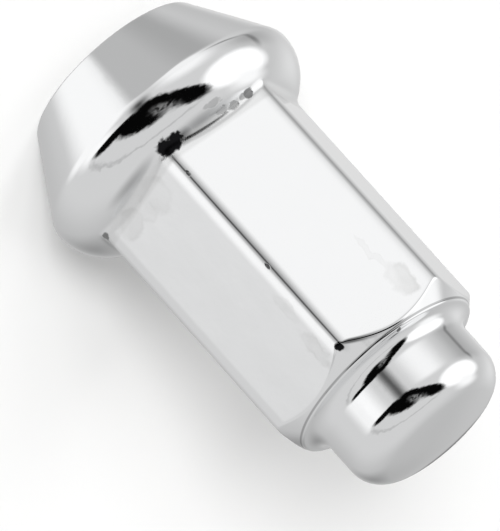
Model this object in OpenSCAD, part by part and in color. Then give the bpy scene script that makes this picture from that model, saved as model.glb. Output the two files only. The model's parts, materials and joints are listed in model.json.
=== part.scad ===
// Closed-end lug nut with a bulged cone seat, forged in one piece and chrome plated.
// It stands on its open seat end. The origin is the centre of that flat end face,
// and +Z runs along the thread's axis to the tip of the dome. All sizes are in millimetres.

/* [Overall] */
// Height from the open end face to the tip of the dome
overall_h = 44; // [36:0.5:54]
// Width across the flats of the hexagon
hex_af = 19; // [15.5:0.5:23]

/* [Thread hole] */
// Nominal diameter of the internal thread
thread_d = 12; // [10:0.1:14.5]
// Pitch of the internal thread
thread_pitch = 1.5; // [1:0.25:2]
// How far the 45 degree countersink at the mouth opens past the nominal thread, on the radius
mouth_over = 0.4; // [0.1:0.1:1]
// Solid metal left between the drill point and the tip of the dome
end_wall = 4.4; // [2.5:0.1:6]
// Included angle of the drill point at the bottom of the blind hole
drill_point_angle = 118; // [90:1:140]

/* [Seat and bulge] */
// Width of the flat ring between the mouth's countersink and the seat
face_w = 2.3; // [1:0.1:4]
// Radius of the edge between the flat ring and the seat
face_edge_r = 0.3; // [0.1:0.05:0.8]
// Included angle of the conical seat
seat_angle = 60; // [50:1:90]
// How far the bulge stands out past the hexagon's corners
bulge_overhang = 2.2; // [1.5:0.05:4]
// Radius of the bulge's edge on the seat side
bulge_edge_r = 1.7; // [0.8:0.1:2.2]
// Radius of the bulge's back, from its widest point in to the hexagon
bulge_back_r = 4.15; // [3:0.05:6]

/* [Hexagon] */
// Radius of the hexagon's six long corners
corner_r = 1.4; // [0.4:0.1:1.6]
// Slope of the chamfer at the dome end, measured from the end plane
chamfer_slope = 47; // [30:1:60]
// How far inside the flats the chamfer ends, on the radius
chamfer_inset = 0.2; // [0.1:0.05:0.8]

/* [Shoulder and dome] */
// Height from the crease where the chamfer ends to the tip of the dome
cap_h = 7.8; // [6.5:0.1:10]
// Width of the shoulder between the crease and the dome's side
shoulder_w = 1.65; // [1.5:0.05:2.3]
// Slope of the shoulder, measured from the end plane
shoulder_slope = 12; // [5:1:30]
// Radius of the shoulder's edge, just past the crease
shoulder_edge_r = 0.25; // [0.15:0.05:0.35]
// Radius of the hollow where the shoulder meets the dome's side
dome_root_r = 1.5; // [0.5:0.05:1.6]
// Radius of the dome's edge
dome_edge_r = 2.75; // [1.5:0.05:3.5]
// Radius of the shallow crown on the dome's end
crown_r = 24; // [12:1:60]

/* [Hidden] */

// Roundness of revolved shapes, and the number of steps in a rounded edge or a long arc
$fn = 144;
edge_steps = 8;
arc_steps = 16;
// How far a cutting shape reaches past the face it cuts
cut = 1;

// Radius of the thread's crests: half the basic minor diameter of a metric thread
bore_r = thread_d / 2 - 5 / 8 * thread_pitch * cos(30);
mouth_r = thread_d / 2 + mouth_over;
drill_tip_z = overall_h - end_wall;
bore_end_z = drill_tip_z - bore_r / tan(drill_point_angle / 2);

// The hexagon: radius of its flats, of its corner centres and of its rounded corners
flat_r = hex_af / 2;
corner_centre_r = (flat_r - corner_r) / cos(30);
hex_r = corner_centre_r + corner_r;

// The seat's cone runs from the flat ring out to the bulge's edge
seat_half = seat_angle / 2;
seat_tip_r = mouth_r + face_w;
face_edge_centre_r = seat_tip_r - face_edge_r * (1 - sin(seat_half)) / cos(seat_half);
bulge_r = hex_r + bulge_overhang;
bulge_edge_centre_r = bulge_r - bulge_edge_r;
bulge_z = (bulge_edge_centre_r + bulge_edge_r * cos(seat_half) - seat_tip_r) / tan(seat_half)
    + bulge_edge_r * sin(seat_half);

// The crease is the circle where the chamfer ends and the shoulder starts
crease_z = overall_h - cap_h;
crease_r = flat_r - chamfer_inset;
dome_r = crease_r - shoulder_w;
shoulder_top_r = crease_r - shoulder_edge_r * (1 - sin(shoulder_slope));
shoulder_top_z = crease_z + shoulder_edge_r * cos(shoulder_slope);
root_centre_r = dome_r + dome_root_r;
root_centre_z = shoulder_top_z + (shoulder_top_r - root_centre_r) * tan(shoulder_slope)
    + dome_root_r / cos(shoulder_slope);

// The dome's edge runs smoothly into the crown at crown_edge_angle from the axis
crown_centre_z = overall_h - crown_r;
dome_edge_centre_r = dome_r - dome_edge_r;
crown_edge_angle = asin(dome_edge_centre_r / (crown_r - dome_edge_r));
dome_edge_centre_z = crown_centre_z + (crown_r - dome_edge_r) * cos(crown_edge_angle);

// Points along an arc about centre, from angle a0 to angle a1
function arc(centre, r, a0, a1, steps) =
    [for (i = [0:steps]) let (a = a0 + (a1 - a0) * i / steps) centre + r * [cos(a), sin(a)]];

// Outline of the seat and the bulge, from the end face up to the bulge's back
function seat_outline() = concat(
    [[0, 0]],
    arc([face_edge_centre_r, face_edge_r], face_edge_r, -90, -seat_half, edge_steps),
    arc([bulge_edge_centre_r, bulge_z], bulge_edge_r, -seat_half, 0, edge_steps),
    arc([bulge_r - bulge_back_r, bulge_z], bulge_back_r, 0, 90, arc_steps),
    [[0, bulge_z + bulge_back_r]]
);

// Outline of the shoulder and the dome, from inside the hexagon up to the tip
function cap_outline() = concat(
    [[0, crease_z - cut], [crease_r - cut, crease_z - cut]],
    arc([crease_r - shoulder_edge_r, crease_z], shoulder_edge_r, 0, 90 - shoulder_slope, edge_steps),
    arc([root_centre_r, root_centre_z], dome_root_r, 270 - shoulder_slope, 180, edge_steps),
    arc([dome_edge_centre_r, dome_edge_centre_z], dome_edge_r, 0, 90 - crown_edge_angle, arc_steps),
    arc([0, crown_centre_z], crown_r, 90 - crown_edge_angle, 90, edge_steps)
);

// Hexagon with rounded corners, one of them on the X axis
function hex_outline() = [
    for (turn = [0:60:300])
        each arc(corner_centre_r * [cos(turn), sin(turn)], corner_r, turn - 30, turn + 30, edge_steps)
];

// Hexagonal bar from inside the bulge to the crease, chamfered at the dome end
module hex_bar() {
    chamfer_h = (hex_r + cut - crease_r) * tan(chamfer_slope);
    intersection() {
        translate([0, 0, bulge_z])
            linear_extrude(crease_z - bulge_z)
                polygon(hex_outline());
        rotate_extrude()
            polygon([
                [0, bulge_z - cut],
                [hex_r + cut, bulge_z - cut],
                [hex_r + cut, crease_z - chamfer_h],
                [crease_r, crease_z],
                [0, crease_z]
            ]);
    }
}

// Blind hole with a countersunk mouth, at the size of the thread's crests
module thread_hole() {
    rotate_extrude()
        polygon([
            [0, -cut],
            [mouth_r + cut, -cut],
            [bore_r, mouth_r - bore_r],
            [bore_r, bore_end_z],
            [0, drill_tip_z]
        ]);
}

module lug_nut() {
    color("silver")
        difference() {
            union() {
                rotate_extrude()
                    polygon(seat_outline());
                hex_bar();
                rotate_extrude()
                    polygon(cap_outline());
            }
            thread_hole();
        }
}

lug_nut();
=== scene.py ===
# %% [markdown]
# # A chrome-plated lug nut
# The nut is one forging. Its surveyed solid comes in as a fixed frame, and this notebook
# models the same shape finely enough for mirror chrome, gives it its plating, and lights it.
# Nothing is ever moved away from the frame: the fine mesh takes its height, its widest
# radius and its hole from it.

# %% Load the frame
import json
import math

import bmesh
import bpy
from mathutils import Matrix, Vector


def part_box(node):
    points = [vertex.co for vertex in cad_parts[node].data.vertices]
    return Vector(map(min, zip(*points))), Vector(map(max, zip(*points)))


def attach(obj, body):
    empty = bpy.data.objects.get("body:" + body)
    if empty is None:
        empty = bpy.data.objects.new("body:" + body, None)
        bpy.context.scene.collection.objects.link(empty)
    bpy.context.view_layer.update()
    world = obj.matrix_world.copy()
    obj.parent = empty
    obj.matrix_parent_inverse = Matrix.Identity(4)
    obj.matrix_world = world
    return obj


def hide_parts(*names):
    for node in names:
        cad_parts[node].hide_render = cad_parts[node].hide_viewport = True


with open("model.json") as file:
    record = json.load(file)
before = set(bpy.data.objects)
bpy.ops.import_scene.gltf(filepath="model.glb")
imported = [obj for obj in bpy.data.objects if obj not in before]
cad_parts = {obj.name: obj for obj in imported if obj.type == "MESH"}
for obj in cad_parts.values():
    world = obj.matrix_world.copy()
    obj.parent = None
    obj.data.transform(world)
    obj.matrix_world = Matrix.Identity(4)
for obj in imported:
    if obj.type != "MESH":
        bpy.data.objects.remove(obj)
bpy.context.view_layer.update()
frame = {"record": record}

foot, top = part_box("lug_nut")
print("frame from", tuple(foot), "to", tuple(top))

# %% [markdown]
# ## The camera
# A nut this small is shot from most of a metre away with a long lens, so its edges stay
# nearly parallel. The camera looks down a little on the standing nut and is rolled, which
# lays the nut slantwise across the picture. The roll is done by naming the picture's right
# and up directions and building the turn from them.

# %% Camera sizes
MM = 0.001
SENSOR = 36.0  # mm, along the picture's longer side
CAMERA_SIDE = math.radians(-66.77)  # where the camera stands round the nut, from +X
CAMERA_RISE = math.radians(17.06)
CAMERA_ROLL = math.radians(48.17)  # how far the nut's axis slopes down across the picture
CAMERA_DISTANCE = 775.2 * MM
VIEW_HEIGHT = 45.74 * MM  # what the longer side of the picture takes in at the nut
AIM_UP = 20.05 * MM
AIM_SIDE = -2.406 * MM
CLIP_FROM = 10 * MM
CLIP_TO = 20.0


# %% Camera
def add_object(name, data):
    """A new object that shows this data, linked into the scene."""
    made = bpy.data.objects.new(name, data)
    bpy.context.scene.collection.objects.link(made)
    return made


towards = Vector((math.cos(CAMERA_SIDE), math.sin(CAMERA_SIDE), 0))
side = Vector((math.sin(CAMERA_SIDE), -math.cos(CAMERA_SIDE), 0))
back = towards * math.cos(CAMERA_RISE) + Vector((0, 0, math.sin(CAMERA_RISE)))
rise = Vector((0, 0, math.cos(CAMERA_RISE))) - towards * math.sin(CAMERA_RISE)
right = rise * math.cos(CAMERA_ROLL) + side * math.sin(CAMERA_ROLL)
up = side * math.cos(CAMERA_ROLL) - rise * math.sin(CAMERA_ROLL)
aim = rise * AIM_UP + side * AIM_SIDE

camera_data = bpy.data.cameras.new("camera")
camera_data.sensor_width = SENSOR
camera_data.lens = SENSOR * CAMERA_DISTANCE / VIEW_HEIGHT
camera_data.clip_start = CLIP_FROM
camera_data.clip_end = CLIP_TO
camera = add_object("camera", camera_data)
turn = Matrix((right, up, back)).transposed().to_4x4()
camera.matrix_world = Matrix.Translation(aim + back * CAMERA_DISTANCE) @ turn
bpy.context.scene.camera = camera
print("lens", round(camera_data.lens), "mm")

# %% [markdown]
# ## The nut's sizes
# The height and the widest radius are the frame's own, and the hole's radius is in the
# frame's record. The rest are the forging's and the tools' sizes: the hexagon, the cone
# seat, the bulge behind it, the chamfer, the shoulder and the dome. The small radii are
# where the die and the plating soften an edge. They matter more than any other size on
# bright chrome, because an edge shows only by what its rounding mirrors.

# %% Sizes
HEIGHT = top.z
BULGE_R = (top.x - foot.x) / 2
MOUNTS = {mount["name"]: mount for mount in frame["record"]["mounts"]}
BORE_R = MOUNTS["stud_thread"]["dims"]["r_mm"] * MM

FLAT_R = 9.5 * MM
CORNER_R = 1.1 * MM  # the corner itself
ROLL_R = 4.5 * MM  # how softly the flat rolls over towards the corner
ROLL = math.radians(10)  # how far it has turned when the corner takes over

MOUTH_R = 6.4 * MM
MOUTH_GAP = 0.25 * MM  # the flat ring's first point stands this far outside the mouth
SEAT_TIP_R = 8.7 * MM
FACE_EDGE_R = 0.3 * MM
SEAT_HALF = math.radians(30)
BULGE_EDGE_R = 1.7 * MM
BULGE_BACK_R = 4.15 * MM
BULGE_FOOT_R = 1.0 * MM  # hollow where the bulge's back runs into the hexagon

CREASE_R = FLAT_R - 0.2 * MM
CREASE_Z = HEIGHT - 7.8 * MM
CHAMFER_SLOPE = math.radians(47)
CHAMFER_EDGE_R = 0.45 * MM
CREASE_HOLLOW_R = 0.12 * MM
SHOULDER_EDGE_R = 0.25 * MM
SHOULDER_SLOPE = math.radians(12)
DOME_R = CREASE_R - 1.65 * MM
DOME_ROOT_R = 1.5 * MM
DOME_EDGE_R = 2.75 * MM
CROWN_R = 24 * MM
print("nut", round(HEIGHT / MM, 2), "mm tall, bulge radius", round(BULGE_R / MM, 2), "mm")

# %% How finely each stretch is divided
FACE_EDGE_STEPS = 6
BULGE_EDGE_STEPS = 10
BULGE_BACK_STEPS = 28
BULGE_FOOT_STEPS = 8
CHAMFER_EDGE_STEPS = 6
CREASE_STEPS = 4
SHOULDER_EDGE_STEPS = 10
DOME_ROOT_STEPS = 10
DOME_EDGE_STEPS = 24
CROWN_STEPS = 12
# A straight stretch has points close to its ends, so that its shading stays flat between
RING_SHARES = (0.5, 0.95)
CONE_SHARES = (0.02, 0.35, 0.65, 0.98)
FLAT_SHARES = (0.008, 0.03, 0.2, 0.4, 0.6, 0.8, 0.97, 0.992)
SLOPE_SHARES = (0.06, 0.5, 0.94)
WALL_SHARES = (0.04, 0.5, 0.96)
print("the bulge's back has a point every", round(90 / BULGE_BACK_STEPS, 1), "degrees or less")

# %% [markdown]
# ## The outline of one slice
# Cut the nut in half through its axis and the cut shows one outline, from the flat ring
# at the open end, out along the seat, over the bulge, up the hexagon, in over the chamfer
# and the shoulder and up to the tip. The only thing that changes as the cut turns round
# the axis is how far out the hexagon's side stands, so the outline is a function of that
# one reach. It always gives the same number of points, so that point 40 of one slice
# belongs to point 40 of the next, and the mesh lines then run along the nut's own edges.

# %% Outline helpers
def polar(centre, radius, angle):
    """The point at this angle round a centre, in a slice's (out, up) plane."""
    return (centre[0] + radius * math.cos(angle), centre[1] + radius * math.sin(angle))


def arc(centre, radius, start, end, steps):
    """Points along an arc, both ends included."""
    return [polar(centre, radius, start + (end - start) * i / steps) for i in range(steps + 1)]


def between(a, b, shares):
    """Points on the straight line from a to b, at these shares of its length."""
    return [(a[0] + (b[0] - a[0]) * s, a[1] + (b[1] - a[1]) * s) for s in shares]


# %% The flat ring, the seat's cone and the bulge's edge
def seat_part():
    """The outline up to the bulge, the same in every slice, and the bulge's height."""
    lift = math.sin(SEAT_HALF)
    face_centre = (SEAT_TIP_R - FACE_EDGE_R * (1 - lift) / math.cos(SEAT_HALF), FACE_EDGE_R)
    edge_centre_r = BULGE_R - BULGE_EDGE_R
    cone_top_r = edge_centre_r + BULGE_EDGE_R * math.cos(SEAT_HALF)
    bulge_z = (cone_top_r - SEAT_TIP_R) / math.tan(SEAT_HALF) + BULGE_EDGE_R * lift
    face_edge = arc(face_centre, FACE_EDGE_R, -math.pi / 2, -SEAT_HALF, FACE_EDGE_STEPS)
    bulge_edge = arc((edge_centre_r, bulge_z), BULGE_EDGE_R, -SEAT_HALF, 0, BULGE_EDGE_STEPS)
    ring = [(MOUTH_R + MOUTH_GAP, 0.0)] + between((MOUTH_R, 0.0), face_edge[0], RING_SHARES)
    cone = between(face_edge[-1], bulge_edge[0], CONE_SHARES)
    return ring + face_edge + cone + bulge_edge, bulge_z


SEAT, BULGE_Z = seat_part()
print("the bulge is widest at", round(BULGE_Z / MM, 2), "mm up")


# %% The bulge's back, the hexagon's side and the chamfer's edge
def hexagon_part(reach):
    """The outline from the bulge to the chamfer, for a side that is this far out."""
    back_centre = (BULGE_R - BULGE_BACK_R, BULGE_Z)
    out = reach + BULGE_FOOT_R - back_centre[0]
    span = BULGE_BACK_R + BULGE_FOOT_R
    foot_centre = (reach + BULGE_FOOT_R, BULGE_Z + math.sqrt(span**2 - out**2))
    meet = math.acos(out / span)
    bulge_back = arc(back_centre, BULGE_BACK_R, 0, meet, BULGE_BACK_STEPS)[1:]
    hollow = arc(foot_centre, BULGE_FOOT_R, math.pi + meet, math.pi, BULGE_FOOT_STEPS)[1:]
    drop = (reach - CHAMFER_EDGE_R - CREASE_R) * math.tan(CHAMFER_SLOPE)
    edge_z = CREASE_Z - drop - CHAMFER_EDGE_R / math.cos(CHAMFER_SLOPE)
    edge_centre = (reach - CHAMFER_EDGE_R, edge_z)
    lean = math.pi / 2 - CHAMFER_SLOPE
    edge = arc(edge_centre, CHAMFER_EDGE_R, 0, lean, CHAMFER_EDGE_STEPS)
    flat = between(hollow[-1], edge[0], FLAT_SHARES)
    return bulge_back + hollow + flat + edge


print("the hexagon's side has", len(hexagon_part(FLAT_R)), "points")


# %% The crease and the shoulder's edge
def crease_part():
    """The small hollow at the crease, and the rounded edge of the shoulder that leaves it."""
    lean = math.pi / 2 - CHAMFER_SLOPE
    out = (math.cos(lean), math.sin(lean))
    along = (-math.sin(lean), math.cos(lean))
    reach = SHOULDER_EDGE_R * along[0]
    slide = -reach - math.sqrt(reach**2 + 2 * SHOULDER_EDGE_R * CREASE_HOLLOW_R * (1 - out[0]))
    hollow_centre = (
        CREASE_R + CREASE_HOLLOW_R * out[0] + slide * along[0],
        CREASE_Z + CREASE_HOLLOW_R * out[1] + slide * along[1],
    )
    edge_centre = (CREASE_R - SHOULDER_EDGE_R, CREASE_Z)
    meet = math.atan2(hollow_centre[1] - edge_centre[1], hollow_centre[0] - edge_centre[0])
    hollow = arc(hollow_centre, CREASE_HOLLOW_R, math.pi + lean, math.pi + meet, CREASE_STEPS)
    slope_angle = math.pi / 2 - SHOULDER_SLOPE
    edge = arc(edge_centre, SHOULDER_EDGE_R, meet, slope_angle, SHOULDER_EDGE_STEPS)[1:]
    return hollow + edge


CREASE = crease_part()
print("the crease and the shoulder's edge have", len(CREASE), "points")


# %% The shoulder's slope and the dome
def dome_part(start):
    """The outline from the end of the shoulder's edge up to the tip."""
    root_r = DOME_R + DOME_ROOT_R
    root_z = start[1] + (start[0] - root_r) * math.tan(SHOULDER_SLOPE)
    root_centre = (root_r, root_z + DOME_ROOT_R / math.cos(SHOULDER_SLOPE))
    slope_angle = math.pi / 2 - SHOULDER_SLOPE
    root = arc(root_centre, DOME_ROOT_R, math.pi + slope_angle, math.pi, DOME_ROOT_STEPS)
    crown_centre = (0.0, HEIGHT - CROWN_R)
    edge_r = DOME_R - DOME_EDGE_R
    crown_angle = math.asin(edge_r / (CROWN_R - DOME_EDGE_R))
    edge_z = crown_centre[1] + (CROWN_R - DOME_EDGE_R) * math.cos(crown_angle)
    crown_start = math.pi / 2 - crown_angle
    edge = arc((edge_r, edge_z), DOME_EDGE_R, 0, crown_start, DOME_EDGE_STEPS)
    crown = arc(crown_centre, CROWN_R, crown_start, math.pi / 2, CROWN_STEPS)[1:]
    slope = between(start, root[0], SLOPE_SHARES)
    wall = between(root[-1], edge[0], WALL_SHARES)
    return slope + root + wall + edge + crown


DOME = dome_part(CREASE[-1])
print("the dome's tip is", round(DOME[-1][1] / MM, 3), "mm up")


# %% One slice's whole outline
def outline(reach):
    """The outline from the mouth of the hole to the tip, for a side this far out."""
    hexagon = hexagon_part(reach)
    chamfer = between(hexagon[-1], CREASE[0], SLOPE_SHARES)
    return SEAT + hexagon + chamfer + CREASE + DOME


print("an outline has", len(outline(FLAT_R)), "points")

# %% [markdown]
# ## Where the slices stand
# Six rounded corners and six flats make the hexagon. A flat is not flat to its very end:
# the die leaves it rolling over softly before the tighter corner. The rounding is only a
# few degrees wide, so slices at even steps would nearly miss it. The slices crowd together
# over each corner instead, start and end exactly where its arc meets the flats, and
# spread out over the flats.

# %% The shape of a corner
def corner_point(lean):
    """The (out, across) point of a corner where its surface leans this far to the side."""
    inner = math.radians(30) - ROLL
    spare = ROLL_R - CORNER_R
    centre = (FLAT_R - ROLL_R + spare * math.cos(ROLL)) / math.cos(math.radians(30))
    if abs(lean) <= inner:
        return centre + CORNER_R * math.cos(lean), CORNER_R * math.sin(lean)
    out = centre - spare * math.cos(inner) + ROLL_R * math.cos(lean)
    across = ROLL_R * math.sin(abs(lean)) - spare * math.sin(inner)
    return out, math.copysign(across, lean)


CORNER_REACH = corner_point(0.0)[0]
print("across the corners", round(2 * CORNER_REACH / MM, 2), "mm")

# %% Slices of one sixth of the turn
SIDES = 6
SIXTH_TURN = math.radians(60)
CORNER_STEPS = 24
FLAT_STEPS = 32
NEAR_CORNER = math.radians(0.6)  # a flat's first and last slices stand this close to a corner


def hexagon_slices():
    """(angle, reach) of each slice from one corner's arc to the start of the next."""
    slices = []
    for i in range(CORNER_STEPS + 1):
        out, across = corner_point(math.radians(-30 + 60 * i / CORNER_STEPS))
        slices.append((math.atan2(across, out), math.hypot(out, across)))
    start = slices[-1][0] + NEAR_CORNER
    width = SIXTH_TURN - 2 * start
    for i in range(FLAT_STEPS + 1):
        angle = start + width * i / FLAT_STEPS
        slices.append((angle, FLAT_R / math.cos(angle - SIXTH_TURN / 2)))
    return slices


SIXTH = hexagon_slices()
SLICES = [(a + math.radians(60 * k), reach) for k in range(SIDES) for a, reach in SIXTH]
print(len(SLICES), "slices round the nut")

# %% [markdown]
# ## Turn a round blank, then press the hexagon
# A forge starts from a round bar and presses the flats into it, and the mesh is made the
# same way. The outline at a corner is spun once round the axis, which gives a smooth round
# blank with every point in a known ring and a known slice. Each slice is then turned to its
# own angle and its points are slid, within the slice, onto that slice's outline. The flats
# appear, and the chamfer's curved edges with them, and no face is cut.

# %% Spin the blank
MERGE = 0.001 * MM  # points closer than this are one point


def chain(bm, points):
    """Vertices and edges along (out, up) points in the plane y = 0."""
    verts = [bm.verts.new((p[0], 0, p[1])) for p in points]
    edges = [bm.edges.new(pair) for pair in zip(verts, verts[1:])]
    return verts + edges


def only(kind, geometry):
    """The parts of a mixed list that are of one kind, such as its vertices."""
    return [g for g in geometry if isinstance(g, kind)]


def spin_round(bm, geometry, steps, climb, close):
    """Spins geometry once round the axis, climbing this much a step."""
    bmesh.ops.spin(
        bm,
        geom=geometry,
        cent=(0, 0, 0),
        axis=(0, 0, 1),
        dvec=(0, 0, climb),
        angle=2 * math.pi,
        steps=steps,
        use_merge=close,
        use_duplicate=False,
    )


shell = bmesh.new()
ring_layer = shell.verts.layers.int.new("ring")
profile = chain(shell, outline(CORNER_REACH))
for ring, vert in enumerate(only(bmesh.types.BMVert, profile)):
    vert[ring_layer] = ring
spin_round(shell, profile, len(SLICES), 0, True)
print("blank:", len(shell.verts), "vertices in", ring + 1, "rings")

# %% Press the flats
outlines = [outline(reach) for angle, reach in SLICES]
step = 2 * math.pi / len(SLICES)
for vert in shell.verts:
    index = round(math.atan2(vert.co.y, vert.co.x) / step) % len(SLICES)
    angle = SLICES[index][0]
    out, level = outlines[index][vert[ring_layer]]
    vert.co = (out * math.cos(angle), out * math.sin(angle), level)
bmesh.ops.remove_doubles(shell, verts=shell.verts, dist=MERGE)
print("pressed:", len(shell.verts), "vertices,", len(shell.faces), "faces")

# %% [markdown]
# ## The threaded hole
# A tap cuts a groove that climbs one pitch a turn. The same happens here: the profile of
# one pitch (crest, flank, root, flank) is spun with a small lift at each step, so that each
# turn's top edge lands on the next turn's bottom edge. The band is then cut off square at
# the bottom of the thread, its groove is faded out over the last turns as a tap's taper
# leaves it, and the countersink pushes everything at the mouth out to its own cone.

# %% Thread sizes
PITCH = 1.5 * MM
THREAD_R = 6.0 * MM
THREAD_FLANK = math.radians(30)
THREAD_EDGE = 0.06 * MM  # how far the thread's sharp edges are softened
THREAD_TOP = 32 * MM
RUN_OUT = 0.5 * MM  # plain metal between the end of the groove and the end of the thread
FADE = 2.5 * MM
DRILL_TOP = HEIGHT - 4.4 * MM
DRILL_HALF = math.radians(59)
BORE_TOP = DRILL_TOP - BORE_R / math.tan(DRILL_HALF)
TURN_STEPS = 96
print("thread groove", round((THREAD_R - BORE_R) / MM, 3), "mm deep")

# %% Sweep the groove
flank = (THREAD_R - BORE_R) * math.tan(THREAD_FLANK)
crest = PITCH / 8
root = PITCH - 2 * crest - 2 * flank
groove_profile = [
    (BORE_R, 0.0),
    (BORE_R, crest - THREAD_EDGE),
    (BORE_R + THREAD_EDGE, crest + THREAD_EDGE / 2),
    (THREAD_R - THREAD_EDGE, crest + flank - THREAD_EDGE / 2),
    (THREAD_R, crest + flank + THREAD_EDGE),
    (THREAD_R, crest + flank + root - THREAD_EDGE),
    (THREAD_R - THREAD_EDGE, crest + flank + root + THREAD_EDGE / 2),
    (BORE_R + THREAD_EDGE, PITCH - crest - THREAD_EDGE / 2),
    (BORE_R, PITCH - crest + THREAD_EDGE),
    (BORE_R, PITCH),
]
hole = bmesh.new()
first_profile = chain(hole, [(r, z - PITCH) for r, z in groove_profile])
spin_round(hole, first_profile, TURN_STEPS, PITCH / TURN_STEPS, False)
one_turn = hole.verts[:] + hole.edges[:] + hole.faces[:]
turns = math.ceil(THREAD_TOP / PITCH) + 2
for number in range(1, turns):
    copy = bmesh.ops.duplicate(hole, geom=one_turn)["geom"]
    lifted = only(bmesh.types.BMVert, copy)
    bmesh.ops.translate(hole, verts=lifted, vec=(0, 0, number * PITCH))
bmesh.ops.remove_doubles(hole, verts=hole.verts, dist=2 * MERGE)
print("groove:", turns, "turns,", len(hole.faces), "faces")


# %% Cut it square, fade it and countersink it
def cut_off(bm, height, keep_above):
    """Cuts the mesh at a level and clears what is above or below."""
    bmesh.ops.bisect_plane(
        bm,
        geom=bm.verts[:] + bm.edges[:] + bm.faces[:],
        dist=MERGE,
        plane_co=(0, 0, height),
        plane_no=(0, 0, 1),
        clear_outer=not keep_above,
        clear_inner=keep_above,
    )


cut_off(hole, 0, True)
cut_off(hole, THREAD_TOP, False)
for vert in hole.verts:
    out = math.hypot(vert.co.x, vert.co.y)
    left = min(1.0, max(0.0, (THREAD_TOP - RUN_OUT - vert.co.z) / FADE))
    wanted = BORE_R + (out - BORE_R) * left
    wanted = max(wanted, MOUTH_R - vert.co.z)
    vert.co.xy *= wanted / out
rims = [e for e in hole.edges if e.is_boundary]
top_rim = [e for e in rims if e.verts[0].co.z > THREAD_TOP / 2]
mouth_rim = [e for e in rims if e.verts[0].co.z < THREAD_TOP / 2]
print("rims:", len(top_rim), "edges at the top,", len(mouth_rim), "at the mouth")


# %% The plain hole above the thread, and the drill point
def raise_rim(bm, edges, lift, grow):
    """Extrudes a rim, lifts it and scales it about the axis. Returns the new rim's edges."""
    made = bmesh.ops.extrude_edge_only(bm, edges=edges)["geom"]
    verts = only(bmesh.types.BMVert, made)
    bmesh.ops.translate(bm, verts=verts, vec=(0, 0, lift))
    bmesh.ops.scale(bm, verts=verts, vec=(grow, grow, 1))
    return [e for e in only(bmesh.types.BMEdge, made) if e.is_boundary]


plain = raise_rim(hole, top_rim, BORE_TOP - THREAD_TOP, 1.0)
half_point = (DRILL_TOP - BORE_TOP) / 2
cone = raise_rim(hole, plain, half_point, 0.5)
raise_rim(hole, cone, half_point, 0.0)
bmesh.ops.remove_doubles(hole, verts=hole.verts, dist=MERGE)
print("hole closed:", sum(e.is_boundary for e in hole.edges) == len(mouth_rim))

# %% [markdown]
# ## One closed skin
# The outside and the hole are two open skins that meet at the flat ring the nut stands on.
# Both go into one mesh, and triangles fill the flat ring between the two rims. The mesh is
# then a closed body, as the forging is, and its faces can all be turned outwards at once.

# %% Join the two skins
SHARP_EDGE = math.radians(32)


def mesh_of(name, bm):
    """A mesh with a bmesh's geometry, which is then freed."""
    mesh = bpy.data.meshes.new(name)
    bm.to_mesh(mesh)
    bm.free()
    return mesh


hole_mesh = mesh_of("hole", hole)
shell.from_mesh(hole_mesh)
bpy.data.meshes.remove(hole_mesh)
open_edges = [e for e in shell.edges if e.is_boundary]
bmesh.ops.triangle_fill(shell, edges=open_edges, use_beauty=True)
bmesh.ops.remove_doubles(shell, verts=shell.verts, dist=MERGE / 2)
bmesh.ops.recalc_face_normals(shell, faces=shell.faces)
for face in shell.faces:
    face.smooth = True
still_open = sum(not e.is_manifold for e in shell.edges)
print("volume", round(shell.calc_volume() / MM**3), "mm3, open edges", still_open)

# %% The nut as one piece
nut_mesh = mesh_of("lug_nut_body", shell)
nut_mesh.set_sharp_from_angle(angle=SHARP_EDGE)
nut = add_object("lug_nut_body", nut_mesh)
triangles = sum(len(p.vertices) - 2 for p in nut_mesh.polygons)
print("nut:", triangles, "triangles")

# %% [markdown]
# ## Marks in the plating, and painted shade
# Chrome is only as smooth as the steel under it. Handling leaves faint stains, and rack
# plating leaves rough, starved spots in the corner where the hexagon stands on the bulge.
# Painted shade darkens the crease, the hollow behind the bulge and the flats' feet, and
# painted dark reflections run along some edges. A painted image could carry such marks, but
# it would need the nut unwrapped first. Small soft ellipsoids are simpler: each mark is worked
# out from the place on the nut itself, so that it stays put whichever side the nut is seen from.

# %% Node helpers
def add_node(tree, kind, **settings):
    """A new node with its settings made."""
    node = tree.nodes.new(kind)
    for name, value in settings.items():
        setattr(node, name, value)
    return node


def calc(tree, operation, first, second=0.0):
    """A math node on sockets or numbers. Returns its result."""
    node = add_node(tree, "ShaderNodeMath", operation=operation)
    for socket, value in zip(node.inputs, (first, second)):
        if isinstance(value, bpy.types.NodeSocket):
            tree.links.new(value, socket)
        else:
            socket.default_value = value
    return node.outputs[0]


def ramp(tree, value, low, high, bottom=0.0, top_value=1.0):
    """Carries a value smoothly from bottom to top_value as it goes from low to high."""
    node = add_node(tree, "ShaderNodeMapRange", interpolation_type="SMOOTHSTEP", clamp=True)
    tree.links.new(value, node.inputs["Value"])
    node.inputs["From Min"].default_value = low
    node.inputs["From Max"].default_value = high
    node.inputs["To Min"].default_value = bottom
    node.inputs["To Max"].default_value = top_value
    return node.outputs["Result"]


def depth_in(tree, coords, centre, columns, sizes):
    """How deep inside an ellipsoid a point is, from zero at its skin to one at its centre."""
    place = add_node(tree, "ShaderNodeMapping", vector_type="TEXTURE")
    tree.links.new(coords, place.inputs["Vector"])
    place.inputs["Location"].default_value = centre
    place.inputs["Rotation"].default_value = Matrix(columns).transposed().to_euler("XYZ")
    place.inputs["Scale"].default_value = sizes
    ball = add_node(tree, "ShaderNodeTexGradient", gradient_type="SPHERICAL")
    tree.links.new(place.outputs[0], ball.inputs["Vector"])
    return ball.outputs[1]


# %% Noise helpers
def noise_node(tree, coords, per_metre, detail, roughness, warp):
    """A noise whose lumps come so many to the metre."""
    node = add_node(tree, "ShaderNodeTexNoise")
    tree.links.new(coords, node.inputs["Vector"])
    node.inputs["Scale"].default_value = per_metre
    node.inputs["Detail"].default_value = detail
    node.inputs["Roughness"].default_value = roughness
    node.inputs["Distortion"].default_value = warp
    return node


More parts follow.
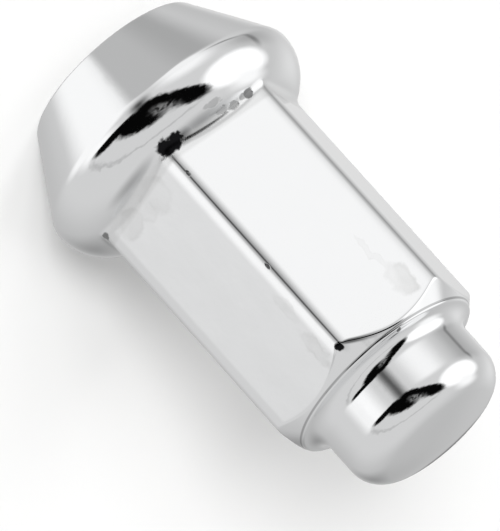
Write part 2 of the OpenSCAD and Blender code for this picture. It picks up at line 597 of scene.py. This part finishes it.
def noise(tree, coords, per_metre, detail=2.0, roughness=0.5, warp=0.0):
    """One noise value at each place."""
    return noise_node(tree, coords, per_metre, detail, roughness, warp).outputs[0]


def pushed_about(tree, coords, amount, per_metre, detail, roughness=0.5):
    """Coordinates that a noise pushes about, by up to half this amount each way."""
    lumps = noise_node(tree, coords, per_metre, detail, roughness, 0.0)
    push = add_node(tree, "ShaderNodeMapping", vector_type="POINT")
    push.inputs["Location"].default_value = (-0.5 * amount, -0.5 * amount, -0.5 * amount)
    push.inputs["Scale"].default_value = (amount, amount, amount)
    tree.links.new(lumps.outputs["Color"], push.inputs["Vector"])
    added = add_node(tree, "ShaderNodeVectorMath", operation="ADD")
    tree.links.new(coords, added.inputs[0])
    tree.links.new(push.outputs[0], added.inputs[1])
    return added.outputs[0]


# %% Where the marks sit
# Name, turn round the axis, radius, height, half sizes (across, up, deep) in mm, strength
STAINS = (
    ("drip", -106.8, 9.9, 33.0, (1.4, 2.0, 1.5), 0.42),
    ("drip's tail", -104.4, 9.8, 29.8, (0.4, 2.6, 1.5), 0.30),
    ("smear", -40, 9.9, 13.6, (1.8, 1.9, 1.5), 0.24),
    ("smear's loop", -30, 9.8, 13.4, (1.8, 1.3, 1.5), 0.20),
    ("end of the smear", -17, 9.8, 13.2, (2.0, 1.5, 1.5), 0.26),
    ("mark by the edge", -50, 10.1, 33.0, (0.9, 2.4, 1.5), 0.32),
    ("second mark", -52, 10.2, 29.0, (0.8, 2.0, 1.5), 0.22),
    ("back drip", 92, 9.5, 27, (1.5, 3.4, 1.5), 0.35),
    ("back smear", 150, 9.5, 14, (3.0, 1.8, 1.5), 0.40),
)
# Painted shade and painted dark reflections: dark lines along the first edge and over the first
# corner's foot, and painted shade at the flats' feet
PAINTED_SHADE = (
    ("first edge", -61.1, 10.7, 23, (0.70, 25, 1.0), 0.42),
    ("corner tail", -70, 10.6, 11.7, (2.2, 0.9, 1.3), 0.75),
    ("foot of the flat", -80, 10.6, 11.7, (3.8, 1.0, 1.3), 0.42),
    ("foot of the left flat", -38, 10.9, 11.45, (5.0, 0.7, 1.0), 0.40),
)
STARVED = (
    ("first corner", -61.5, 11.0, 11.6, (1.6, 1.0, 1.5), 1.0),
    ("first corner's side", -66, 10.8, 11.7, (1.3, 0.9, 1.4), 1.0),
    ("foot spot", -110.5, 10.4, 11.8, (0.7, 0.6, 1.0), 0.70),
    ("foot spot's tail", -107, 10.3, 11.8, (0.6, 0.3, 1.0), 0.40),
    ("second foot spot", -101, 10.1, 12.0, (0.9, 0.4, 1.0), 0.40),
    ("third foot spot", -94, 10.1, 11.8, (0.8, 0.3, 1.0), 0.25),
    ("bulge spot", -90, 11.0, 11.2, (1.3, 0.4, 0.8), 0.30),
    ("edge nick", -59.5, 10.8, 25.3, (0.22, 0.5, 0.5), 0.8),
    ("small nick", -60.8, 10.8, 14.5, (0.25, 0.45, 0.5), 0.7),
    ("chamfer corner", -59.5, 10.7, 34.8, (0.5, 0.55, 0.6), 1.0),
    ("shoulder spot", -88, 9.0, 36.6, (0.4, 0.3, 0.4), 0.8),
    ("third corner", 0, 11.1, 11.8, (0.8, 0.5, 1.5), 0.7),
    ("fourth corner", 62, 11.1, 11.8, (1.1, 0.7, 1.5), 0.9),
    ("fifth corner", 178, 11.1, 11.8, (0.7, 0.5, 1.5), 0.8),
    ("back foot", 95, 10.0, 12.3, (2.2, 0.4, 1.0), 0.4),
    ("back nick", 120, 10.8, 22, (0.3, 0.5, 0.5), 0.8),
)
print(len(STAINS), "stains,", len(PAINTED_SHADE), "shaded lines,", len(STARVED), "starved spots")

# %% How a mark is laid on the nut
UP = Vector((0, 0, 1))


def flat_frame(turn_degrees):
    """Along, up and outward directions on the side of the nut that faces this way."""
    out = Vector((math.cos(math.radians(turn_degrees)), math.sin(math.radians(turn_degrees)), 0))
    return UP.cross(out), UP.copy(), out


def on_nut(turn_degrees, out_mm, height_mm):
    """A point on the nut, from its turn round the axis, its radius and its height."""
    turn = math.radians(turn_degrees)
    return Vector((out_mm * math.cos(turn), out_mm * math.sin(turn), height_mm)) * MM


def depth_in_mark(tree, coords, turn_degrees, out_mm, height_mm, sizes):
    """How deep inside one mark a place is."""
    sizes_m = tuple(size * MM for size in sizes)
    centre = on_nut(turn_degrees, out_mm, height_mm)
    return depth_in(tree, coords, centre, flat_frame(turn_degrees), sizes_m)


def on_marks(tree, coords, marks, shape):
    """The strongest of these marks at each place, each one shaped by its depth."""
    most = None
    for name, turn_degrees, out_mm, height_mm, sizes, strength in marks:
        depth = depth_in_mark(tree, coords, turn_degrees, out_mm, height_mm, sizes)
        area = calc(tree, "MULTIPLY", shape(tree, depth), strength)
        area.node.label = name
        most = area if most is None else calc(tree, "MAXIMUM", most, area)
    return most


# %% [markdown]
# ## The chrome
# Chrome plate is a bare metal, so its shader is fully metallic and its colour is what it
# mirrors back. One shader serves the whole nut: the plating is thick outside and hardly
# reaches into the hole, where the steel stays darker and duller.

# %% Start the chrome
BARE_RIM = 0.2 * MM  # how quickly the plating starts past the drill point
MOUTH_FADE = (-0.35 * MM, 0.05 * MM)  # and over which stretch at the mouth's edge

chrome = bpy.data.materials.new("chrome_plate")
chrome.use_nodes = True
tree = chrome.node_tree
shader = tree.nodes["Principled BSDF"]
shader.inputs["Metallic"].default_value = 1.0
shader.inputs["IOR"].default_value = 2.4
where = add_node(tree, "ShaderNodeTexCoord").outputs["Object"]
split = add_node(tree, "ShaderNodeSeparateXYZ")
tree.links.new(where, split.inputs[0])
across_x, across_y, height = split.outputs


def distance(tree, first, second):
    """The length of the long side of a right triangle with these two short ones."""
    squares = [calc(tree, "POWER", leg, 2.0) for leg in (first, second)]
    return calc(tree, "SQRT", calc(tree, "ADD", *squares))


axis_far = distance(tree, across_x, across_y)
below = ramp(tree, height, DRILL_TOP, DRILL_TOP + BARE_RIM, 1.0, 0.0)
inside = ramp(tree, axis_far, MOUTH_R + MOUTH_FADE[0], MOUTH_R + MOUTH_FADE[1], 1.0, 0.0)
bare = calc(tree, "MULTIPLY", inside, below)
print("chrome started:", len(tree.nodes), "nodes")

# %% [markdown]
# ## Dried stains, and painted shade lines
# Water and oil dry on chrome as thin drops with a darker rim, so a stain is strongest just
# inside its edge. Its outline wanders as a liquid's does, because it is laid on places that
# a noise has pushed about. The painted shade lines are painted shade at the flats' feet and
# painted dark reflections along an edge and over a corner's foot, and each fades evenly to both
# sides.

# %% Stains and painted shade lines
WANDER = 1.8 * MM
WANDER_PER_METRE = 650.0
FILM_PER_METRE = 380.0
FILM_RANGE = (0.38, 0.58)
FILM_SHARE = 0.6  # how much of a stain's strength comes and goes with the film
RIM_DEPTH = 0.32  # a drop is at full strength this deep inside its edge
MIDDLE = (0.25, 0.55, 1.0, 0.7)  # from and to this depth, from and to this strength

run_where = pushed_about(tree, where, WANDER, WANDER_PER_METRE, 3.0)
film = ramp(tree, noise(tree, where, FILM_PER_METRE, 1.5, 0.5, 0.4), *FILM_RANGE)


def dried(tree, depth):
    """A dried drop: a darker rim round a paler middle."""
    return calc(tree, "MULTIPLY", ramp(tree, depth, 0.0, RIM_DEPTH), ramp(tree, depth, *MIDDLE))


def faded(tree, depth):
    """A soft shade, strongest at its middle."""
    return ramp(tree, depth, 0.0, 1.0)


uneven_film = calc(tree, "ADD", calc(tree, "MULTIPLY", film, FILM_SHARE), 1 - FILM_SHARE)
stain = calc(tree, "MULTIPLY", on_marks(tree, run_where, STAINS, dried), uneven_film)
# Painted shade and painted dark reflections, laid as soft dark lines
painted_shade = on_marks(tree, where, PAINTED_SHADE, faded)
print("with stains:", len(tree.nodes), "nodes")

# %% [markdown]
# ## Starved spots
# Where the current hardly reaches, the plating stays thin, rough and nearly black. Such a
# spot has a ragged edge, so a fine noise eats into each ellipsoid from its rim.

# %% Starved spots
RAGGED_PER_METRE = 1300.0
RAGGED = 1.1  # how deep the noise eats into a spot
EDGE_RANGE = (0.16, 0.46)  # eaten depths between which a spot turns dark
SPOT_RIM = 0.15
ragged_noise = calc(tree, "SUBTRACT", noise(tree, where, RAGGED_PER_METRE, 2.0, 0.5, 0.4), 0.5)


def eaten(tree, depth):
    """A ragged spot that never reaches past its ellipsoid."""
    uneven = calc(tree, "ADD", depth, calc(tree, "MULTIPLY", ragged_noise, RAGGED))
    rim = ramp(tree, depth, 0.0, SPOT_RIM)
    return calc(tree, "MULTIPLY", ramp(tree, uneven, *EDGE_RANGE), rim)


starved = on_marks(tree, where, STARVED, eaten)
print("with starved spots:", len(tree.nodes), "nodes")

# %% [markdown]
# ## Painted shade in the crease, a painted dark line at the chamfer, and the dull hollow
# Painted shade darkens the crease all the way round, so it is worked out from the distance
# to the crease's circle. One flat has a painted dark reflection along its chamfer, which is
# curved: it runs where a cone cuts a plane, and the distance from both gives it. Polishing
# never reaches the hollow behind the bulge, and it wears the hexagon's corners. The hollow
# also gets painted shade in its colour.

# %% Painted shade in the crease
# Painted shade: darkens the colour in a thin ring round the crease
CREASE_SHADE = 0.45
CREASE_SHADE_R = CREASE_R + 0.02 * MM
CREASE_SHADE_REACH = (0.05 * MM, 0.15 * MM)
crease_out = calc(tree, "SUBTRACT", axis_far, CREASE_SHADE_R)
crease_up = calc(tree, "SUBTRACT", height, CREASE_Z)
crease_shade = ramp(tree, distance(tree, crease_out, crease_up), *CREASE_SHADE_REACH, CREASE_SHADE, 0.0)
print("grime reaches", round(CREASE_SHADE_REACH[1] / MM, 2), "mm from the crease")

# %% A painted dark reflection along the chamfer's edge on one flat, strongest at the corner
LINE_PLACE = (-64, 10.4, 35, (5.5, 2.5, 2.5))  # turn, radius, height and half sizes in mm
LINE_REACH = (0.10 * MM, 0.30 * MM)
LINE_STRENGTH = 0.8
# Painted dark reflection: a dark line along the chamfer's curved edge
cone_in = calc(tree, "SUBTRACT", CREASE_Z, height)
cone_in = calc(tree, "MULTIPLY", cone_in, 1 / math.tan(CHAMFER_SLOPE))
above_cone = calc(tree, "SUBTRACT", calc(tree, "ADD", cone_in, CREASE_R), axis_far)
inside_flat = calc(tree, "ADD", across_y, FLAT_R)
edge_far = calc(tree, "ADD", above_cone, inside_flat)
line_area = faded(tree, depth_in_mark(tree, where, *LINE_PLACE))
chamfer_painted_reflection = ramp(tree, edge_far, *LINE_REACH, LINE_STRENGTH, 0.0)
chamfer_painted_reflection = calc(tree, "MULTIPLY", chamfer_painted_reflection, line_area)
print("with grime and the chamfer's line:", len(tree.nodes), "nodes")

# %% Duller metal in the hollow and on the corners, and painted shade in the hollow
HOLLOW_LOW = (11.4 * MM, 12.0 * MM)
HOLLOW_HIGH = (12.7 * MM, 13.1 * MM)
HOLLOW_OUT = (11.0 * MM, 12.0 * MM)
CORNER_OUT = (10.3 * MM, 10.6 * MM)
CORNER_LOW = (11.5 * MM, 12.5 * MM)
# The hollow's mask makes its metal rougher and carries painted shade into its colour
hollow_up = ramp(tree, height, *HOLLOW_LOW)
hollow_down = ramp(tree, height, *HOLLOW_HIGH, 1.0, 0.0)
hollow = calc(tree, "MULTIPLY", hollow_up, hollow_down)
hollow = calc(tree, "MULTIPLY", hollow, ramp(tree, axis_far, *HOLLOW_OUT, 1.0, 0.0))
corner = calc(tree, "MULTIPLY", ramp(tree, axis_far, *CORNER_OUT), ramp(tree, height, *CORNER_LOW))
print("with the hollow and the corners:", len(tree.nodes), "nodes")

# %% [markdown]
# ## Colour, gloss and relief
# The marks only matter through what they do to the mirror. Stains and the hollow's painted
# shade grey its colour; starved spots, painted shade and painted dark reflections blacken it;
# and film, stains, spots and worn corners blur it. The forging leaves a slow waviness and the
# plating adds a fine orange peel. Both are a few thousandths of a millimetre tall, far finer
# than the mesh, so they are a bump and not geometry.

# %% Colour of the chrome
CLEAN = (0.86, 0.865, 0.87, 1)
STAIN_AND_SHADE_GREY = (0.50, 0.50, 0.49, 1)
BLACK = (0.012, 0.012, 0.013, 1)
BARE_STEEL = (0.30, 0.30, 0.31, 1)
HOLLOW_SHADE = 0.20


def paint_over(tree, under, area, colour):
    """Paints a colour over the colour underneath, where area is one."""
    node = add_node(tree, "ShaderNodeMix", data_type="RGBA")
    if isinstance(under, bpy.types.NodeSocket):
        tree.links.new(under, node.inputs["A"])
    else:
        node.inputs["A"].default_value = under
    node.inputs["B"].default_value = colour
    tree.links.new(area, node.inputs["Factor"])
    return node.outputs["Result"]


# Stains and the hollow's painted shade grey the plate; starved spots, painted shade and painted
# dark reflections blacken it
stains_and_hollow_shade = calc(tree, "ADD", calc(tree, "MULTIPLY", hollow, HOLLOW_SHADE), stain)
dark = calc(tree, "MAXIMUM", calc(tree, "MAXIMUM", starved, painted_shade), crease_shade)
dark = calc(tree, "MAXIMUM", dark, chamfer_painted_reflection)
plate = paint_over(tree, CLEAN, calc(tree, "MINIMUM", stains_and_hollow_shade, 1.0), STAIN_AND_SHADE_GREY)
plate = paint_over(tree, plate, dark, BLACK)
plate = paint_over(tree, plate, bare, BARE_STEEL)
tree.links.new(plate, shader.inputs["Base Color"])
print("with its colour:", len(tree.nodes), "nodes")

# %% Gloss of the chrome
CLEAN_ROUGHNESS = 0.025
ROUGHENED_BY = (
    (film, 0.03),
    (stain, 0.20),
    (starved, 0.25),
    (hollow, 0.14),
    (corner, 0.04),
    (bare, 0.35),
)
blur = CLEAN_ROUGHNESS
for area, share in ROUGHENED_BY:
    blur = calc(tree, "ADD", calc(tree, "MULTIPLY", area, share), blur)
tree.links.new(blur, shader.inputs["Roughness"])
print("gloss from", len(ROUGHENED_BY), "areas")

# %% Waviness and orange peel
WAVES_PER_METRE = 260.0
PEEL_PER_METRE = 1500.0
RELIEF = 0.004 * MM
WAVES = 5.0  # how tall the waves are, in steps of RELIEF
PEEL = 0.6
PITS = 8.0
slow = calc(tree, "MULTIPLY", noise(tree, where, WAVES_PER_METRE, 1.0), WAVES)
fine = calc(tree, "MULTIPLY", noise(tree, where, PEEL_PER_METRE), PEEL)
pitted = calc(tree, "MULTIPLY", starved, PITS)
relief = calc(tree, "SUBTRACT", calc(tree, "ADD", slow, fine), pitted)
bump = add_node(tree, "ShaderNodeBump")
bump.inputs["Strength"].default_value = 1.0
bump.inputs["Distance"].default_value = RELIEF
tree.links.new(relief, bump.inputs["Height"])
tree.links.new(bump.outputs[0], shader.inputs["Normal"])
print("chrome:", len(tree.nodes), "nodes")

# %% The nut gets its chrome and stands for the frame's solid
nut_mesh.materials.append(chrome)
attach(nut, "root")
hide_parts("lug_nut")
print("one piece:", nut.name)

# %% [markdown]
# ## The light tent
# Mirror chrome has no colour of its own: it shows the room. A studio stands such a part in
# a tent of white cloth, and adds a bright softbox and a black card, so that the part gets
# one clean white light and one black shape that draw its curves. The tent here is a big
# ball round the nut that only the chrome's reflections see. Each light or card is a soft
# oval in one direction from the nut, given as a turn from the camera's side, a height
# angle, a tilt, two half sizes and a brightness.

# %% Tent helpers
CHROME_SHINE = 0.865


def grey(written):
    """The light behind a grey that is written on the 0 to 255 scale of a screen."""
    part = written / 255
    return part / 12.92 if part <= 0.04045 else ((part + 0.055) / 1.055) ** 2.4


def seen(written):
    """The tent brightness that chrome mirrors as this written grey."""
    return grey(written) / CHROME_SHINE


def oval_frame(turn_degrees, height_degrees, tilt_degrees):
    """The oval's middle, and its long, short and depth directions."""
    turn, high, tilt = map(math.radians, (turn_degrees, height_degrees, tilt_degrees))
    level = towards * math.cos(turn) + side * math.sin(turn)
    centre = level * math.cos(high) + UP * math.sin(high)
    across = side * math.cos(turn) - towards * math.sin(turn)
    over = UP * math.cos(high) - level * math.sin(high)
    long = across * math.cos(tilt) + over * math.sin(tilt)
    short = over * math.cos(tilt) - across * math.sin(tilt)
    return centre, (long, short, -centre)


print("cloth that chrome mirrors as white has a brightness of", round(seen(255), 3))

# %% Lights and greys on the cloth
# Name, turn, height, tilt, half-length, half-width, softness, grey. A row lies over those above it
LIGHTS = (
    ("left low", -64, -54, 0, 0.62, 0.66, 0.5, 248),
    ("front left", -50, -20, 0, 0.50, 0.36, 0.7, 251),
    ("front right", 45, -24, 0, 0.56, 0.44, 0.7, 246),
    ("right low", 50, -45, 0, 0.50, 0.45, 0.7, 242),
    ("nadir", 76, -78, 0, 0.52, 0.32, 0.35, 182),
    ("nadir right", 106, -60, 0, 0.42, 0.34, 0.9, 166),
    ("right back", 150, 8, 0, 0.60, 0.65, 1.0, 218),
    ("left back", -158, 8, 0, 0.42, 0.50, 1.0, 146),
    ("narrow flat's light", 166, -19, 0, 0.42, 0.36, 1.0, 214),
    ("right grey", 107, -14, 0, 0.62, 0.36, 1.0, 166),
    ("grey line", 110, -12, 85, 0.34, 0.10, 1.0, 125),
    ("grey trail", 92, -32, 35, 0.42, 0.12, 1.0, 140),
    ("streak", -3, -20, 90, 0.62, 0.24, 1.0, 75),
    ("softbox", 85, 27, 0, 0.62, 0.52, 0.30, 262),
    ("back card", 180, -14, 90, 0.26, 0.10, 0.6, 110),
    ("softbox top", 116, 44, 0, 0.42, 0.30, 0.8, 250),
)
CLOTH_BACK = 182  # the cloth's grey behind the nut
CLOTH_FRONT = 207  # and on the camera's side
print(len(LIGHTS), "lights and greys")

# %% [markdown]
# ## Light on the cloth
# The tent's material is pure emission, and its brightness depends only on the direction
# from the nut. It starts as cloth that is a little darker behind the nut, and each oval is
# laid over what is already there, as paint is. An oval is an ellipsoid round a point on a
# ball of radius one, so the same helper that places a stain on the nut places a light.

# %% The cloth and its lights
tent_material = bpy.data.materials.new("tent")
tent_material.use_nodes = True
tree = tent_material.node_tree
tree.nodes.clear()
where = add_node(tree, "ShaderNodeTexCoord").outputs["Object"]
aimed = add_node(tree, "ShaderNodeVectorMath", operation="NORMALIZE")
tree.links.new(where, aimed.inputs[0])
way = aimed.outputs[0]


def facing(tree, way, direction):
    """One in this direction, zero at right angles to it and minus one away from it."""
    node = add_node(tree, "ShaderNodeVectorMath", operation="DOT_PRODUCT")
    tree.links.new(way, node.inputs[0])
    node.inputs[1].default_value = direction
    return node.outputs["Value"]


def lay_over(tree, light, area, written):
    """Lays a grey over the light where area is one."""
    blend = add_node(tree, "ShaderNodeMix", data_type="FLOAT")
    tree.links.new(area, blend.inputs["Factor"])
    tree.links.new(light, blend.inputs["A"])
    blend.inputs["B"].default_value = seen(written)
    return blend.outputs["Result"]


def oval(tree, way, turn_degrees, height_degrees, tilt, long_half, short_half, soft_rim):
    """One inside an oval on the cloth, fading to zero at its rim."""
    centre, columns = oval_frame(turn_degrees, height_degrees, tilt)
    depth = depth_in(tree, way, centre, columns, (long_half, short_half, 1.0))
    return ramp(tree, depth, 0.0, soft_rim)


front = facing(tree, way, towards)
light = ramp(tree, front, -1.0, 0.0, seen(CLOTH_BACK), seen(CLOTH_FRONT))
for name, *place, written in LIGHTS:
    area = oval(tree, way, *place)
    area.node.label = name
    light = lay_over(tree, light, area, written)
print("lit cloth:", len(tree.nodes), "nodes")

# %% [markdown]
# ## A seam and a black card
# Real cloth has seams, and a real card has torn and crumpled edges. Both are laid on
# directions that a noise has pushed about. The card is one black shape of four overlapping
# ovals, so that it thins towards one end. It stands on a table, so its foot is cut straight
# on directions that aren't pushed, and a sheen where it is crumpled keeps it from being flat
# black.

# %% A seam round the card's upper left side
TEAR = 0.18  # how far the noise pushes a direction of length one
CREASES = 7.0  # how many lumps the noise has to that length
SEAM_GREY = 184
SEAM_OVAL = (1.0, 0.72, 3.0)
SEAM_LINE = 0.05  # the seam is darkest this deep inside its oval
SEAM_END = 0.12
SEAM_SPAN = (0.35, 0.7)

torn_way = pushed_about(tree, way, TEAR, CREASES, 5.0, 0.65)
centre, columns = oval_frame(0, 20, 30)
depth = depth_in(tree, torn_way, centre, columns, SEAM_OVAL)
seam_in = ramp(tree, depth, 0.0, SEAM_LINE)
seam_out = ramp(tree, depth, SEAM_LINE, SEAM_END, 1.0, 0.0)
seam_side = ramp(tree, facing(tree, way, oval_frame(-60, 50, 0)[0]), *SEAM_SPAN)
seam = calc(tree, "MULTIPLY", calc(tree, "MULTIPLY", seam_in, seam_out), seam_side)
light = lay_over(tree, light, seam, SEAM_GREY)
print("with the seam:", len(tree.nodes), "nodes")

# %% The black card
CARD_GREY = 6
CARD_FOOT = (-0.255, -0.225)  # the card starts between these heights on a ball of radius one
# Name, turn, height, tilt, half-length, half-width, softness
CARD = (
    ("tail", -32, -9, 8, 0.50, 0.20, 0.35),
    ("body", -9, 11, 54, 0.62, 0.36, 0.30),
    ("middle", 4, 8, 60, 0.45, 0.32, 0.30),
    ("high end", 29, 31, 50, 0.68, 0.25, 0.35),
)
way_parts = add_node(tree, "ShaderNodeSeparateXYZ")
tree.links.new(way, way_parts.inputs[0])
above_foot = ramp(tree, way_parts.outputs[2], *CARD_FOOT)
card = None
for name, *place in CARD:
    area = oval(tree, torn_way, *place)
    area.node.label = name
    card = area if card is None else calc(tree, "MAXIMUM", card, area)
light = lay_over(tree, light, calc(tree, "MULTIPLY", card, above_foot), CARD_GREY)
print("a card of", len(CARD), "ovals")

# %% A crumpled sheen on the middle of the card
SHEEN_GREY = 130
SHEEN = (11, 27, 64, 0.46, 0.18, 0.7)
CRUMPLES = 9.0  # and how many the crumpling has
CRUMPLE_RANGE = (0.36, 0.58)
sheen = oval(tree, torn_way, *SHEEN)
crumple = ramp(tree, noise(tree, way, CRUMPLES, 4.0, 0.6, 1.0), *CRUMPLE_RANGE)
light = lay_over(tree, light, calc(tree, "MULTIPLY", sheen, crumple), SHEEN_GREY)
glow = add_node(tree, "ShaderNodeEmission")
tree.links.new(light, glow.inputs["Strength"])
output = add_node(tree, "ShaderNodeOutputMaterial")
tree.links.new(glow.outputs[0], output.inputs["Surface"])
print("tent material:", len(tree.nodes), "nodes")

# %% The tent
TENT_R = 6.0
ball = bmesh.new()
bmesh.ops.create_uvsphere(ball, u_segments=96, v_segments=48, radius=TENT_R)
tent_mesh = mesh_of("tent", ball)
tent_mesh.materials.append(tent_material)
tent = add_object("tent", tent_mesh)
tent.visible_camera = False
tent.visible_shadow = False
tent.visible_diffuse = False
print("tent", TENT_R, "m in radius")

# %% [markdown]
# ## The floor
# The floor is plain and pale, and near the nut it takes the nut's shadow. Further out it
# fades into pure white, as the sweep of a paper roll does. Chrome would mirror the floor's
# far edge as a hard line, so the floor stays out of its reflections and the tent is what it
# mirrors instead.

# %% Paper
SWEEP_START = 0.22
SWEEP_END = 0.6
PAPER = (0.90, 0.90, 0.895, 1)
PAPER_ROUGHNESS = 0.9


def plain_sight(tree):
    """One for rays that look straight at a thing, in a mirror or through glass, else zero."""
    rays = add_node(tree, "ShaderNodeLightPath")
    sight = calc(tree, "MAXIMUM", rays.outputs["Is Camera Ray"], rays.outputs["Is Glossy Ray"])
    return calc(tree, "MAXIMUM", sight, rays.outputs["Is Transmission Ray"])


floor_material = bpy.data.materials.new("paper")
floor_material.use_nodes = True
tree = floor_material.node_tree
paper = tree.nodes["Principled BSDF"]
paper.inputs["Base Color"].default_value = PAPER
paper.inputs["Roughness"].default_value = PAPER_ROUGHNESS
paper.inputs["Specular IOR Level"].default_value = 0.0
where = add_node(tree, "ShaderNodeTexCoord").outputs["Object"]
length = add_node(tree, "ShaderNodeVectorMath", operation="LENGTH")
tree.links.new(where, length.inputs[0])
far = ramp(tree, length.outputs["Value"], SWEEP_START, SWEEP_END)
white = add_node(tree, "ShaderNodeEmission")
sweep = add_node(tree, "ShaderNodeMixShader")
tree.links.new(calc(tree, "MULTIPLY", far, plain_sight(tree)), sweep.inputs[0])
tree.links.new(paper.outputs[0], sweep.inputs[1])
tree.links.new(white.outputs[0], sweep.inputs[2])
tree.links.new(sweep.outputs[0], tree.nodes["Material Output"].inputs["Surface"])
print("paper fades to white from", SWEEP_START, "to", SWEEP_END, "m")

# %% Floor
FLOOR_R = 3.0
FLOOR_DROP = 0.02 * MM  # keeps it just clear of the face the nut stands on
disc = bmesh.new()
bmesh.ops.create_circle(disc, cap_ends=True, segments=96, radius=FLOOR_R)
bmesh.ops.translate(disc, verts=disc.verts, vec=(0, 0, -FLOOR_DROP))
floor_mesh = mesh_of("floor", disc)
floor_mesh.materials.append(floor_material)
floor = add_object("floor", floor_mesh)
floor.visible_glossy = False
print("floor", FLOOR_R, "m in radius")

# %% [markdown]
# ## Lamps and world
# The lamps only light the floor, because the chrome mirrors the tent. Two low lamps from
# the camera's side lay a shadow behind the nut, a small one for its dark core and a broader
# one for its soft edge. One from the side and one high up spread it further. The world
# fills the shadow from all round, and to the camera it is plain white.

# %% Lamps
# Name, turn from the camera's side, height, apparent size in degrees, strength
LAMPS = (
    ("near key", 3.0, 14.6, 6.0, 4.15),
    ("broad key", 7, 18, 9, 1.6),
    ("side key", 18, 30, 16, 0.9),
    ("high key", 60, 60, 40, 0.15),
)
for name, turn_degrees, height_degrees, size_degrees, strength in LAMPS:
    lamp_data = bpy.data.lights.new(name, "SUN")
    lamp_data.energy = strength
    lamp_data.angle = math.radians(size_degrees)
    lamp = add_object(name, lamp_data)
    shining = oval_frame(turn_degrees, height_degrees, 0)[0]
    lamp.rotation_euler = shining.to_track_quat("Z", "Y").to_euler()
    lamp.visible_glossy = False
print(len(LAMPS), "lamps")

# %% World
SOFT_LIGHT = 0.46
world = bpy.data.worlds.new("world")
world.use_nodes = True
bpy.context.scene.world = world
tree = world.node_tree
background = tree.nodes["Background"]
background.inputs["Color"].default_value = (1, 1, 1, 1)
brightness = calc(tree, "MAXIMUM", plain_sight(tree), SOFT_LIGHT)
tree.links.new(brightness, background.inputs["Strength"])
bpy.context.scene.view_settings.view_transform = "Standard"
print("world lights the floor at", SOFT_LIGHT)
